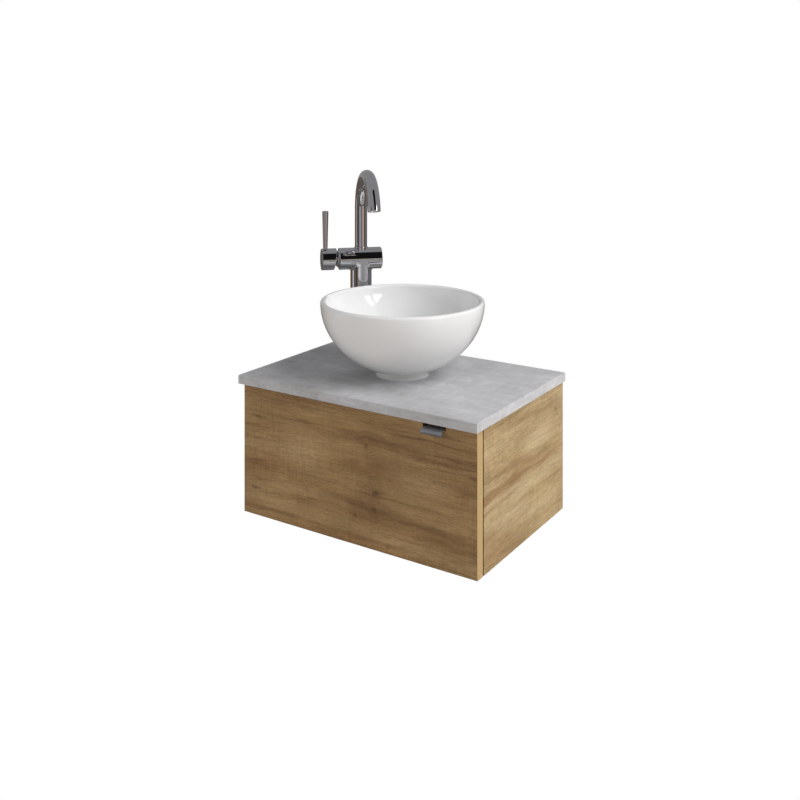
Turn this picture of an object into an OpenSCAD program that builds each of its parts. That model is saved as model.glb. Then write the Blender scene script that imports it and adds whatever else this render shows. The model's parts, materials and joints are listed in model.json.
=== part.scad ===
// Wall-hung vanity with one drawer, a round vessel basin and a mixer tap with a swivel spout.
// Origin: on the wall plane, midway between the two wall fixing holes.
// +X points right as seen from the front, +Y into the wall, +Z up.

/* [Cabinet] */
// Width of the carcass and of the drawer front
cab_w = 490; // [480:2:520]
// Height of the carcass below the countertop
cab_h = 238; // [236:1:250]
// Thickness of the carcass boards
board_t = 16; // [16]
// Thickness of the drawer front
front_t = 18; // [16:1:19]
// Gap between the carcass and the closed drawer front
front_gap = 3.5; // [3:0.5:5]
// Height of the carcass top above the wall fixing holes
hang_h = 48; // [46:1:50]

/* [Countertop] */
// Width of the countertop
slab_w = 500; // [490:2:540]
// Depth of the countertop
slab_d = 343; // [340:1:360]
// Thickness of the countertop
slab_t = 16; // [15:1:20]
// How far the countertop stands out in front of the drawer front
slab_lip = 11; // [8:1:14]
// Clear gap between the countertop and the drawer front
slab_gap = 3; // [2:0.5:4]

/* [Basin] */
// Outer radius of the basin at its widest
bowl_r = 152; // [140:1:156]
// Height of the basin above the countertop
bowl_h = 138; // [130:1:145]
// Radius of the rounded rim
rim_r = 5; // [4:0.5:6]
// Radius of the basin's foot
foot_r = 49.6; // [47:0.2:52]
// Fullness of the basin's side, where 2 is an ellipse
bowl_power = 1.95; // [1.9:0.01:2.1]

/* [Tap] */
// Sideways place of the tap
tap_x = -165; // [-175:1:-160]
// Front-to-back place of the tap
tap_y = -71; // [-75:1:-65]
// Turn of the tap about its own upright axis
tap_turn = 45; // [35:1:55]
// Radius of the upright body
body_r = 21.6; // [20.5:0.1:21.7]
// Radius of the horizontal mixer cylinder
mixer_r = 21.8; // [21.6:0.1:22.4]
// Height of the mixer cylinder's axis above the countertop
mixer_z = 185; // [170:1:200]
// Outer radius of the spout tube
spout_r = 12.5; // [12:0.1:12.6]
// Radius of the spout's bend along its centre line
bend_r = 73; // [60:1:80]
// Height of the bend's centre above the countertop
bend_z = 284; // [280:1:300]
// Turn of the bend from upright to the outlet
bend_angle = 165; // [160:1:175]

/* [Drawer] */
// Length of the drawer box and of its runners
box_l = 250; // [250]
// Height of the drawer box
box_h = 100; // [90:1:100]
// Thickness of the drawer box boards
box_t = 12; // [12]
// Half width of the cut-out round the trap
cutout_x = 75; // [65:1:80]

/* [Hidden] */
$fn = 96;

// Carcass places
half_w = cab_w / 2;
inner_x = half_w - board_t;
cab_bottom = hang_h - cab_h;
slab_top = hang_h + slab_t;
front_y = slab_lip - slab_d;
front_back = front_y + front_t;
cab_front = front_back + front_gap;
front_top = hang_h - slab_gap;
rail_back_y = -26;
front_rail_d = 80;
top_rail_z = -32;
low_rail_h = 60;
panel_top = cab_bottom + board_t;

// Fittings of the carcass
cam_r = 7.5;
cam_depth = 12.5;
cam_x = inner_x - 24;
dowel_r = 4;
play = 0.05;
// Places of the cam locks as height-ways pairs [y, z, turn about X that faces the cam outwards]
bottom_cams = [for (y = [-280, -45]) [y, cab_bottom + board_t / 2, 0]];
front_cams = [[-270, hang_h - board_t / 2, 180]];
top_back_cams = [[rail_back_y + 8, -15, 90]];
low_back_cams = [[rail_back_y + 8, -140, 90]];
all_cams = concat(bottom_cams, front_cams, top_back_cams, low_back_cams);
// Places of the dowels as [y, z]
bottom_dowels = [for (y = [-250, -80]) [y, cab_bottom + board_t / 2]];
front_dowels = [[-290, hang_h - board_t / 2]];
top_back_dowels = [[rail_back_y + 8, 39]];
low_back_dowels = [[rail_back_y + 8, -158]];
all_dowels = concat(bottom_dowels, front_dowels, top_back_dowels, low_back_dowels);

// Countersunk screws
screw_r = 2;
screw_head_r = 3.6;
screw_head_h = 1.6;
cabinet_screw_l = 15;
short_screw_l = 12;
long_screw_l = 25;

// Wall fixing
plate_x = 205;
plate_hole_r = 3.25;
hanger_y = -80;
bracket_ys = [-210, -110];
bracket_l = 20;
bracket_t = 2;

// Runners: distances are measured from the side panel's inner face
runner_z = -105;
runner_w = 12.7;
rail_front = cab_front;
outer_ball_z = 19.2;
inner_ball_z = 13.8;
ball_x = 7.8;
ball_r = 2;
cage_front = -225.5;
cage_l = 80;
runner_screw_ys = [-290, -185, -80];

// Drawer box
box_x = inner_x - runner_w;
box_front = front_back;
box_back = box_front + box_l;
box_z = runner_z - box_h / 2;
bottom_z = box_z + 10;
bottom_t = 8;
groove = 6;
cutout_front_y = -236;

// Handle
handle_x = 145;
handle_w = 40;
handle_t = 1.5;
notch_h = 7;
notch_side = 2;
handle_top = front_top - notch_h + handle_t;
handle_screw_z = 24;

// Basin and waste
basin_y = -slab_d / 2;
seal_h = 3;
rim_z = bowl_h - rim_r;
bowl_drop = rim_z - 1;
inner_drop = rim_z - 14;
inner_r = bowl_r - 2 * rim_r;
foot_hollow_r = 38;
foot_hollow_z = 8;
drain_r = 23;
recess_r = 33;
recess_z = 13.5;
shank_r = 20.95;
shank_bottom = -50;
bore_r = 17.5;
waste_flange_z = recess_z + 1;

// Trap
pipe_r = 16;
pipe_bore = 14.6;
trap_r = 29;
outlet_z = -60;
neck_r = 20;

// Tap
gasket_h = 1.5;
pivot = 36;
mixer_left = 45.5;
mixer_right = 41;
boss_r = 13.5;
boss_z = mixer_z + 24;
socket_r = 9.1;
socket_z = mixer_z - 1;
cavity_r = 17.6;
mouth_r = 20;
inlet_x = -3;
inlet_off = 9;
inlet_r = 4.6;
stud_off = 9.5;
stud_r = 3.95;
dome_r = 20.5;
knob_end = 80.7;
knob_top = 50.6;
knob_low = 56.5;
lever_at = 72.8;
lever_top = 97;
spout_bore = 10.5;
insert_r = 9.05;
spout_end_l = 7;
sleeve_step = 0.2;

// ---------- shared shapes ----------

module tube(outer, inner, h) {
    difference() {
        cylinder(r = outer, h = h);
        translate([0, 0, -1]) cylinder(r = inner, h = h + 2);
    }
}

// Box from one corner to the opposite one
module block(low, high) {
    translate(low) cube(high - low);
}

module both_sides() {
    children();
    mirror([1, 0, 0]) children();
}

// Countersunk screw pointing down, its head flush with z = 0; gap widens it for cutting its hole
module screw(l, gap = 0) {
    rotate_extrude() polygon([
        [0, 0], [screw_head_r + gap, 0], [screw_r + gap, -screw_head_h], [screw_r + gap, -l], [0, -l - gap]
    ]);
}

module at_cams(sites) {
    both_sides() for (c = sites) translate([0, c[0], c[1]]) rotate([c[2], 0, 0]) children();
}

module cam_cut(sites) {
    at_cams(sites) {
        translate([cam_x, 0, board_t / 2 - cam_depth]) cylinder(r = cam_r, h = cam_depth + 1);
        translate([cam_x, 0, 0]) rotate([0, 90, 0]) cylinder(r = 4, h = inner_x - cam_x);
        translate([inner_x - 1, 0, 0]) rotate([0, 90, 0]) cylinder(r = 2.5 + play, h = 12);
    }
}

module dowel_cut(sites) {
    both_sides() for (d = sites) translate([inner_x - 17, d[0], d[1]]) rotate([0, 90, 0])
        cylinder(r = dowel_r, h = 29);
}

// Screws of the carcass: two rows for the brackets, one for the hangers and one for the runners
module at_bracket_screws() {
    both_sides() for (y = bracket_ys) {
        translate([inner_x - 12, y, hang_h - bracket_t]) rotate([180, 0, 0]) children();
        translate([inner_x - bracket_t, y, hang_h - 12]) rotate([0, -90, 0]) children();
    }
}

module at_hanger_screws() {
    both_sides() for (z = [14, 32]) translate([inner_x - 2, hanger_y + 6, z]) rotate([0, -90, 0]) children();
}

module at_runner_screws() {
    both_sides() for (y = runner_screw_ys) translate([inner_x - 1.2, y, runner_z]) rotate([0, -90, 0])
        children();
}

module at_slide_screws() {
    both_sides() for (y = runner_screw_ys) translate([box_x + 1.2, y, runner_z]) rotate([0, 90, 0])
        children();
}

module at_handle_screws() {
    for (x = [10, 30]) translate([handle_x + x, front_back + handle_t, handle_screw_z]) rotate([-90, 0, 0])
        children();
}

module at_front_screws() {
    for (x = [-170, 170]) for (z = [-70, -125]) translate([x, front_back + box_t, z]) rotate([-90, 0, 0])
        children();
}

module at_corner_screws() {
    both_sides() for (y = [box_front + box_t / 2, box_back - box_t / 2]) for (z = [-72, -129])
        translate([box_x, y, z]) rotate([0, 90, 0]) children();
}

module at_cutout_screws() {
    both_sides() for (z = [-72, -120]) translate([cutout_x + box_t / 2, cutout_front_y - box_t, z])
        rotate([90, 0, 0]) children();
}

// ---------- carcass ----------

module side_panel() {
    difference() {
        block([inner_x, cab_front, cab_bottom], [half_w, 0, hang_h]);
        cam_cut(all_cams);
        dowel_cut(all_dowels);
        at_bracket_screws() screw(cabinet_screw_l, play);
        at_hanger_screws() screw(cabinet_screw_l, play);
        at_runner_screws() screw(cabinet_screw_l, play);
    }
}

module side_left() {
    color("burlywood") mirror([1, 0, 0]) side_panel();
}

module side_right() {
    color("burlywood") side_panel();
}

module bottom_panel() {
    color("burlywood") difference() {
        block([-inner_x, cab_front, cab_bottom], [inner_x, 0, panel_top]);
        cam_cut(bottom_cams);
        dowel_cut(bottom_dowels);
    }
}

module front_rail() {
    color("burlywood") difference() {
        block([-inner_x, cab_front, hang_h - board_t], [inner_x, cab_front + front_rail_d, hang_h]);
        cam_cut(front_cams);
        dowel_cut(front_dowels);
    }
}

module back_rail_top() {
    color("burlywood") difference() {
        block([-inner_x, rail_back_y, top_rail_z], [inner_x, rail_back_y + board_t, hang_h]);
        cam_cut(top_back_cams);
        dowel_cut(top_back_dowels);
        both_sides() block([inner_x - 16, rail_back_y - 1, 22], [inner_x + 1, rail_back_y + board_t + 1, 30]);
    }
}

module back_rail_bottom() {
    color("burlywood") difference() {
        block([-inner_x, rail_back_y, panel_top], [inner_x, rail_back_y + board_t, panel_top + low_rail_h]);
        cam_cut(low_back_cams);
        dowel_cut(low_back_dowels);
    }
}

// Slab outline seen along one of its long edges, with its top edges eased
module eased_slab(w) {
    polygon([
        [-w / 2, 0], [w / 2, 0], [w / 2, slab_t - 0.8], [w / 2 - 0.8, slab_t], [0.8 - w / 2, slab_t],
        [-w / 2, slab_t - 0.8]
    ]);
}

module countertop() {
    color("silver") difference() {
        translate([0, 0, hang_h]) intersection() {
            rotate([90, 0, 0]) linear_extrude(slab_d) eased_slab(slab_w);
            translate([-slab_w / 2, -slab_d / 2, 0]) rotate([90, 0, 90]) linear_extrude(slab_w)
                eased_slab(slab_d);
        }
        at_basin() translate([0, 0, -slab_t - 1]) cylinder(r = 24, h = slab_t + 2);
        at_tap() translate([0, 0, -slab_t - 1]) cylinder(r = 17.5, h = slab_t + 2);
        at_bracket_screws() screw(cabinet_screw_l, play);
    }
}

module cam_locks() {
    color("gray") at_cams(all_cams) {
        difference() {
            translate([cam_x, 0, board_t / 2 - cam_depth]) cylinder(r = cam_r - play, h = cam_depth - 0.2);
            block([cam_x, -3.3, -20], [cam_x + 20, 3.3, 3.5]);
        }
        translate([cam_x + 2, 0, 0]) rotate([0, 90, 0]) cylinder(r = 3, h = inner_x - cam_x - 2);
        translate([inner_x, 0, 0]) rotate([0, 90, 0]) cylinder(r = 2.5, h = 10.8);
    }
}

module dowels() {
    color("tan") both_sides() for (d = all_dowels) translate([inner_x - 16.5, d[0], d[1]])
        rotate([0, 90, 0]) cylinder(r = dowel_r - play, h = 28);
}

module top_brackets() {
    color("silver") difference() {
        both_sides() for (y = bracket_ys) translate([0, y, 0]) {
            block([inner_x - bracket_l, -10, hang_h - bracket_t], [inner_x, 10, hang_h]);
            block([inner_x - bracket_t, -10, hang_h - bracket_l], [inner_x, 10, hang_h - bracket_t]);
        }
        at_bracket_screws() screw(cabinet_screw_l, play);
    }
}

module cabinet_screws() {
    color("gray") {
        at_bracket_screws() screw(cabinet_screw_l);
        at_hanger_screws() screw(cabinet_screw_l);
        at_runner_screws() screw(cabinet_screw_l);
    }
}

// Box with a screwing flange at the front and a hook that reaches over the wall plate's tongue
module cabinet_hangers() {
    color("whitesmoke") difference() {
        both_sides() {
            block([inner_x - 16, hanger_y + 14, 5], [inner_x, rail_back_y, 42]);
            block([inner_x - 2, hanger_y, 5], [inner_x, hanger_y + 14, 42]);
            block([inner_x - 12, rail_back_y, 24], [inner_x - 4, -1.6, 28]);
            block([inner_x - 12, -3.6, 12], [inner_x - 4, -1.6, 24]);
        }
        at_hanger_screws() screw(cabinet_screw_l, play);
        both_sides() for (z = [14, 33]) translate([inner_x - 9, hanger_y + 13, z]) rotate([-90, 0, 0])
            cylinder(r = 3, h = 4);
    }
}

module wall_plates() {
    color("silver") difference() {
        both_sides() {
            block([plate_x - 8, -2, -15], [plate_x + 22, 0, 8]);
            block([plate_x - 8, -6, 6], [plate_x + 22, -2, 8]);
            block([plate_x - 8, -6, 8], [plate_x + 22, -4, 24]);
        }
        both_sides() translate([plate_x, 1, 0]) rotate([90, 0, 0]) cylinder(r = plate_hole_r, h = 4);
    }
}

module bumpers() {
    color("gainsboro") both_sides() for (z = [25, cab_bottom + 20]) translate([half_w - 8, cab_front, z])
        rotate([90, 0, 0]) cylinder(r = 4, h = front_gap - 0.1);
}

// ---------- runners ----------

// C-shaped rail section: web from x0 to x0 + 1.2, flanges out to x1, outer half height h
module rail_section(x0, x1, h, flange) {
    translate([x0, -h]) square([1.2, 2 * h]);
    for (z = [-h, h - flange]) translate([x0, z]) square([x1 - x0, flange]);
}

module races(z) {
    for (s = [-1, 1]) translate([ball_x, s * z]) circle(r = ball_r + 0.3);
}

// Sweeps a section of the right-hand runner towards the wall from its front end, on both sides
module runner_pair(front, l) {
    both_sides() translate([inner_x, front, runner_z]) rotate([90, 0, 180]) linear_extrude(l) children();
}

module runner_fixed_rails() {
    color("lightgray") difference() {
        runner_pair(rail_front, box_l) difference() {
            rail_section(0, 10.5, 22.5, 1.6);
            races(outer_ball_z);
        }
        at_runner_screws() screw(cabinet_screw_l, play);
    }
}

module runner_middle_rails() {
    color("lightgray") runner_pair(rail_front, box_l) difference() {
        rail_section(2.6, 11, 17.5, 2);
        races(outer_ball_z);
        races(inner_ball_z);
    }
}

module runner_drawer_rails() {
    color("lightgray") difference() {
        runner_pair(rail_front, box_l - 4) difference() {
            union() {
                translate([runner_w - 1.2, -12.1]) square([1.2, 24.2]);
                for (z = [-12.1, 10.5]) translate([5.5, z]) square([6, 1.6]);
            }
            races(inner_ball_z);
        }
        at_slide_screws() screw(short_screw_l, play);
    }
}

// One cage: a thin web, two shelves at the ball rows, and the balls in the shelves' holes
module cage_pair(web_x, row_z) {
    runner_pair(cage_front, cage_l) union() {
        translate([web_x, -row_z]) square([0.6, 2 * row_z]);
        for (s = [-1, 1]) translate([web_x, s * row_z - 0.4]) square([10.2 - web_x, 0.8]);
    }
}

module at_balls(row_z) {
    both_sides() for (s = [-1, 1]) for (i = [0:4])
        translate([inner_x - ball_x, cage_front + 10 + 15 * i, runner_z + s * row_z]) children();
}

module outer_ball_cages() {
    color("goldenrod") {
        difference() {
            cage_pair(1.6, outer_ball_z);
            at_balls(outer_ball_z) cylinder(r = ball_r + 0.15, h = 4, center = true);
        }
        at_balls(outer_ball_z) sphere(r = ball_r);
    }
}

module inner_ball_cages() {
    color("goldenrod") {
        difference() {
            cage_pair(4.3, inner_ball_z);
            at_balls(inner_ball_z) cylinder(r = ball_r + 0.15, h = 4, center = true);
        }
        at_balls(inner_ball_z) sphere(r = ball_r);
    }
}

// ---------- drawer ----------

module drawer_front() {
    color("peru") difference() {
        block([-half_w, front_y, cab_bottom], [half_w, front_back, front_top]);
        block([handle_x - notch_side, front_y - 1, front_top - notch_h],
            [handle_x + handle_w + notch_side, front_back + 1, front_top + 1]);
        at_handle_screws() screw(short_screw_l, play);
        at_front_screws() screw(long_screw_l, play);
    }
}

// Part of a ring between two angles, both measured from straight up towards the room
module ring_sector(outer, inner, a0, a1) {
    far = 2 * outer;
    intersection() {
        difference() {
            circle(r = outer);
            circle(r = inner);
        }
        polygon([
            [0, 0], [-far * sin(a0), far * cos(a0)], [-far * sin((a0 + a1) / 2), far * cos((a0 + a1) / 2)],
            [-far * sin(a1), far * cos(a1)]
        ]);
    }
}

// Bent plate: leg behind the front, flange over its top, and a lip that curls down before it
module handle() {
    big_r = 14;
    small_r = 4;
    bend_at = 50;
    lip_end = 115;
    centre_z = handle_top - big_r;
    step = big_r - small_r;
    color("lightsteelblue") difference() {
        translate([handle_x, 0, 0]) rotate([90, 0, 90]) linear_extrude(handle_w) {
            translate([front_back, handle_screw_z - 9]) square([handle_t, handle_top - handle_screw_z + 9]);
            translate([front_y, handle_top - handle_t]) square([front_t, handle_t]);
            translate([front_y, centre_z]) ring_sector(big_r, big_r - handle_t, 0, bend_at);
            translate([front_y - step * sin(bend_at), centre_z + step * cos(bend_at)])
                ring_sector(small_r, small_r - handle_t, bend_at, lip_end);
        }
        at_handle_screws() screw(short_screw_l, play);
    }
}

module drawer_side() {
    difference() {
        block([box_x - box_t, box_front, box_z], [box_x, box_back, box_z + box_h]);
        block([box_x - box_t - 1, box_front - 1, bottom_z], [box_x - box_t + groove, box_back + 1,
            bottom_z + bottom_t]);
        at_slide_screws() screw(short_screw_l, play);
        at_corner_screws() screw(long_screw_l, play);
    }
}

module drawer_side_left() {
    color("whitesmoke") mirror([1, 0, 0]) drawer_side();
}

module drawer_side_right() {
    color("whitesmoke") drawer_side();
}

module drawer_box_front() {
    color("whitesmoke") difference() {
        block([box_t - box_x, box_front, box_z], [box_x - box_t, box_front + box_t, box_z + box_h]);
        block([-box_x, box_front + groove, bottom_z], [box_x, box_front + box_t + 1, bottom_z + bottom_t]);
        at_front_screws() screw(long_screw_l, play);
        at_corner_screws() screw(long_screw_l, play);
    }
}

module drawer_backs() {
    color("whitesmoke") difference() {
        both_sides() block([cutout_x + box_t, box_back - box_t, bottom_z + bottom_t],
            [box_x - box_t, box_back, box_z + box_h]);
        at_corner_screws() screw(long_screw_l, play);
    }
}

module cutout_walls() {
    z0 = bottom_z + bottom_t;
    z1 = box_z + box_h;
    color("whitesmoke") difference() {
        union() {
            both_sides() block([cutout_x, cutout_front_y, z0], [cutout_x + box_t, box_back, z1]);
            block([-cutout_x - box_t, cutout_front_y - box_t, z0], [cutout_x + box_t, cutout_front_y - 0.1, z1]);
        }
        at_cutout_screws() screw(long_screw_l, play);
    }
}

module drawer_bottom() {
    edge = box_x - box_t + groove;
    color("whitesmoke") difference() {
        block([-edge, box_front + groove, bottom_z], [edge, box_back, bottom_z + bottom_t]);
        block([-cutout_x, cutout_front_y, bottom_z - 1], [cutout_x, box_back + 1, bottom_z + bottom_t + 1]);
    }
}

module short_screws() {
    color("gray") {
        at_slide_screws() screw(short_screw_l);
        at_handle_screws() screw(short_screw_l);
    }
}

module long_screws() {
    color("gray") {
        at_front_screws() screw(long_screw_l);
        at_corner_screws() screw(long_screw_l);
        at_cutout_screws() screw(long_screw_l);
    }
}

// ---------- basin and waste ----------

module at_basin() {
    translate([0, basin_y, slab_top]) children();
}

// Points of a superellipse quarter below the rim, from the rim inwards, between two angles
function bowl_curve(r, drop, a0, a1, steps) = [
    for (i = [0:steps]) let (a = a0 + (a1 - a0) * i / steps)
        [r * pow(cos(a), 2 / bowl_power), rim_z - drop * pow(sin(a), 2 / bowl_power)]
];

function reversed(list) = [for (i = [len(list) - 1:-1:0]) list[i]];

module basin() {
    foot_a = acos(pow(foot_r / bowl_r, bowl_power / 2));
    recess_a = acos(pow(recess_r / inner_r, bowl_power / 2));
    rim = [for (a = [15:15:165]) [bowl_r - rim_r + rim_r * cos(a), rim_z + rim_r * sin(a)]];
    color("white") at_basin() rotate_extrude() polygon(concat(
        [[drain_r, foot_hollow_z], [foot_hollow_r, foot_hollow_z], [foot_hollow_r, seal_h], [foot_r, seal_h]],
        reversed(bowl_curve(bowl_r, bowl_drop, 0, foot_a, 22)),
        rim,
        bowl_curve(inner_r, inner_drop, 0, recess_a, 22),
        [[recess_r, recess_z], [drain_r, recess_z]]
    ));
}

module basin_seal() {
    color("gainsboro") at_basin() tube(foot_r - 0.8, foot_hollow_r + 1, seal_h);
}

module waste_body() {
    color("silver") at_basin() difference() {
        union() {
            translate([0, 0, waste_flange_z]) cylinder(r1 = 32, r2 = 31, h = 2);
            translate([0, 0, shank_bottom]) cylinder(r = shank_r, h = waste_flange_z - shank_bottom);
        }
        translate([0, 0, shank_bottom - 1]) cylinder(r = bore_r, h = 100);
        translate([0, 0, waste_flange_z - 3]) cylinder(r1 = 17, r2 = 24, h = 6);
    }
}

module waste_gaskets() {
    color("dimgray") at_basin() {
        translate([0, 0, recess_z]) tube(31, shank_r + play, 1);
        translate([0, 0, -slab_t - 4]) tube(31, shank_r + play, 4);
    }
}

module waste_nut() {
    color("silver") at_basin() translate([0, 0, -slab_t - 12]) difference() {
        cylinder(r = 29, h = 8, $fn = 6);
        translate([0, 0, -1]) cylinder(r = shank_r + play, h = 10);
    }
}

// Domed cap, its seal land and the stem that slides in the guide
module plug() {
    color("silver") at_basin() {
        translate([0, 0, waste_flange_z + 2.2]) rotate_extrude() polygon([
            [0, 0], [25, 0], [30, 1.6], [30.5, 2.6], [29.5, 3.6], [22, 5], [12, 5.8], [0, 6]
        ]);
        translate([0, 0, -14]) cylinder(r = 4, h = waste_flange_z + 16.2);
    }
}

// Guide of the plug: a sleeve with a closed foot on three spokes inside the waste
module plug_guide() {
    color("whitesmoke") at_basin() intersection() {
        difference() {
            union() {
                translate([0, 0, -18]) cylinder(r = 6.5, h = 22);
                for (a = [0:120:240]) rotate([0, 0, a]) block([0, -1.5, -10], [bore_r + 1, 1.5, 2]);
            }
            translate([0, 0, -15]) cylinder(r = 4 + play, h = 30);
        }
        translate([0, 0, -30]) cylinder(r = bore_r - play, h = 60);
    }
}

// ---------- trap ----------

module at_trap() {
    translate([0, basin_y, 0]) children();
}

module at_outlet() {
    translate([0, basin_y, outlet_z]) rotate([-90, 0, 0]) children();
}

// Compression nut: threaded skirt on a neck of neck_r, then a mouth that clears the pipe
module pipe_nut() {
    difference() {
        cylinder(r = 25, h = 22);
        translate([0, 0, -1]) cylinder(r = neck_r + play, h = 17);
        translate([0, 0, 10]) cylinder(r = pipe_r + 0.1, h = 20);
    }
}

module trap_nuts() {
    color("silver") {
        at_trap() translate([0, 0, -30]) pipe_nut();
        at_outlet() translate([0, 0, 32]) pipe_nut();
        at_trap() translate([0, 0, 3]) difference() {
            cylinder(r = 25, h = 21);
            translate([0, 0, 6]) cylinder(r = shank_r + play, h = 20);
            translate([0, 0, -1]) cylinder(r = pipe_r + 0.1, h = 20);
        }
    }
}

module trap_inlet_tube() {
    color("silver") at_trap() difference() {
        union() {
            translate([0, 0, -100]) cylinder(r = pipe_r, h = 110);
            translate([0, 0, 9]) cylinder(r = shank_r - 0.5, h = 2);
        }
        translate([0, 0, -101]) cylinder(r = pipe_bore, h = 120);
    }
}

module trap_body() {
    color("silver") difference() {
        union() {
            at_trap() translate([0, 0, -90]) cylinder(r = trap_r, h = 58);
            at_trap() translate([0, 0, -40]) cylinder(r = neck_r, h = 26);
            at_outlet() cylinder(r = neck_r, h = 46);
        }
        at_trap() translate([0, 0, -91]) cylinder(r = trap_r - 2.5, h = 56);
        at_trap() translate([0, 0, -40]) cylinder(r = pipe_r + 0.1, h = 30);
        at_trap() translate([0, 0, -22]) cylinder(r = 18, h = 20);
        at_outlet() cylinder(r = pipe_bore, h = 50);
        at_outlet() translate([0, 0, 34]) cylinder(r = pipe_r + 0.1, h = 20);
        at_outlet() translate([0, 0, 38]) cylinder(r = 18, h = 20);
    }
}

module trap_cup() {
    color("silver") at_trap() translate([0, 0, -126]) difference() {
        cylinder(r = 31.5, h = 46);
        translate([0, 0, 36]) cylinder(r = trap_r + play, h = 20);
        translate([0, 0, 4]) cylinder(r = trap_r - 2.5, h = 50);
    }
}

module trap_outlet_pipe() {
    start = 36;
    color("silver") at_outlet() difference() {
        union() {
            translate([0, 0, start]) cylinder(r = pipe_r, h = -basin_y - start);
            translate([0, 0, -basin_y - 75]) cylinder(r = 18, h = 3);
        }
        translate([0, 0, start - 1]) cylinder(r = pipe_bore, h = 200);
    }
}

module trap_seals() {
    color("dimgray") {
        at_trap() translate([0, 0, -22]) tube(17.9, pipe_r + play, 7.8);
        at_outlet() translate([0, 0, 38]) tube(17.9, pipe_r + play, 7.8);
        at_trap() translate([0, 0, 11]) tube(shank_r - 0.5, pipe_r, 3);
    }
}

// ---------- tap ----------

module at_tap() {
    translate([tap_x, tap_y, slab_top]) rotate([0, 0, tap_turn]) children();
}

// Frame of the mixer cylinder: z runs out towards the knob, x is up
module at_mixer() {
    at_tap() translate([0, 0, mixer_z]) rotate([0, -90, 0]) children();
}

// Frame of the spout's outlet: z runs out of the mouth
module at_outlet_end() {
    at_tap() translate([0, bend_r * (cos(bend_angle) - 1), bend_z + bend_r * sin(bend_angle)])
        rotate([bend_angle, 0, 0]) children();
}

module tap_body() {
    ease = 1.2;
    color("lightgray") difference() {
        union() {
            at_tap() translate([0, 0, gasket_h]) cylinder(r = body_r, h = mixer_z - gasket_h);
            at_tap() translate([0, 0, mixer_z]) cylinder(r = boss_r, h = boss_z - mixer_z);
            at_mixer() rotate_extrude() polygon([
                [0, -mixer_right], [mixer_r - ease, -mixer_right], [mixer_r, ease - mixer_right],
                [mixer_r, mixer_left - ease], [mixer_r - ease, mixer_left], [0, mixer_left]
            ]);
        }
        at_mixer() {
            translate([0, 0, 12]) cylinder(r = cavity_r, h = 40);
            translate([0, 0, pivot + 2]) cylinder(r = mouth_r, h = 20);
            translate([3.2, 0, 0]) cylinder(r = 2.5, h = 14);
            for (y = [-inlet_off, inlet_off]) translate([-9, y, 0]) cylinder(r = 3, h = 14);
        }
        at_tap() {
            translate([0, 0, socket_z]) cylinder(r = socket_r, h = 60);
            for (y = [-inlet_off, inlet_off]) translate([inlet_x, y, 0]) {
                cylinder(r = inlet_r, h = gasket_h + 15);
                cylinder(r = 3.5, h = mixer_z - 6);
            }
            translate([stud_off, 0, 0]) cylinder(r = stud_r + play, h = gasket_h + 14);
            translate([0, 0, mixer_z + 10.2]) rotate([-90, 0, 0]) {
                cylinder(r = 1.5, h = 12);
                translate([0, 0, 9.6]) cylinder(r = 2 + play, h = 20);
            }
        }
    }
}

module tap_gasket() {
    color("dimgray") at_tap() tube(body_r + 0.5, 17.5, gasket_h);
}

module tap_stud() {
    color("silver") at_tap() translate([stud_off, 0, -62]) cylinder(r = stud_r, h = 62 + gasket_h + 13);
}

// Horseshoe plate below the countertop, open on the side where the supply hoses pass
module tap_clamp_plate() {
    color("silver") at_tap() translate([0, 0, -slab_t - 3]) difference() {
        cylinder(r = 23, h = 3);
        block([-30, -14, -1], [2, 14, 4]);
        translate([stud_off, 0, -1]) cylinder(r = stud_r + play, h = 5);
    }
}

module tap_nut() {
    color("silver") at_tap() translate([stud_off, 0, -slab_t - 11]) difference() {
        cylinder(r = 7.5, h = 8, $fn = 6);
        translate([0, 0, -1]) cylinder(r = stud_r + play, h = 10);
    }
}

module cartridge_housing() {
    color("whitesmoke") at_mixer() difference() {
        translate([0, 0, 12.2]) cylinder(r = cavity_r - 0.1, h = 25.8);
        translate([0, 0, 19]) cylinder(r = 13, h = 30);
        translate([3.2, 0, 10]) cylinder(r = 2.5, h = 20);
        for (y = [-inlet_off, inlet_off]) translate([-9, y, 10]) cylinder(r = 3, h = 20);
    }
}

module cartridge_rotor() {
    color("steelblue") at_mixer() difference() {
        translate([0, 0, 27]) cylinder(r = 13 - play, h = 14);
        block([-8.5, -4.2, 20], [8.5, 4.2, 50]);
        translate([0, 0, pivot]) rotate([90, 0, 0]) cylinder(r = 1.5 + play, h = 40, center = true);
    }
}

module ceramic_disc() {
    color("white") at_mixer() translate([0, 0, 19.1]) difference() {
        cylinder(r = 8.5, h = 7.6);
        translate([0, 0, 3.4]) cylinder(r = 3.3, h = 10);
    }
}

module cartridge_nut() {
    color("goldenrod") at_mixer() translate([0, 0, pivot + 2.05]) tube(mouth_r - play, 13.4, 3.95);
}

// Dome ring that covers the cartridge; its ball is centred on the lever's pivot
module cartridge_cover() {
    color("lightgray") at_mixer() difference() {
        intersection() {
            translate([0, 0, pivot]) sphere(r = dome_r);
            translate([0, 0, pivot + 6.2]) cylinder(r = 19.6, h = 9.6);
        }
        translate([0, 0, pivot]) sphere(r = dome_r - 1.2);
        cylinder(r = 13, h = 80);
    }
}

// Square stem on two trunnions, with a ball that drives the ceramic disc
module lever_stem() {
    color("goldenrod") at_mixer() {
        block([-4, -4, pivot - 2], [4, 4, 72]);
        translate([0, 0, pivot]) rotate([90, 0, 0]) cylinder(r = 1.5, h = 24, center = true);
        translate([0, 0, pivot - 10]) cylinder(r = 2, h = 10);
        translate([0, 0, pivot - 10]) sphere(r = 2.5);
    }
}

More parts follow.
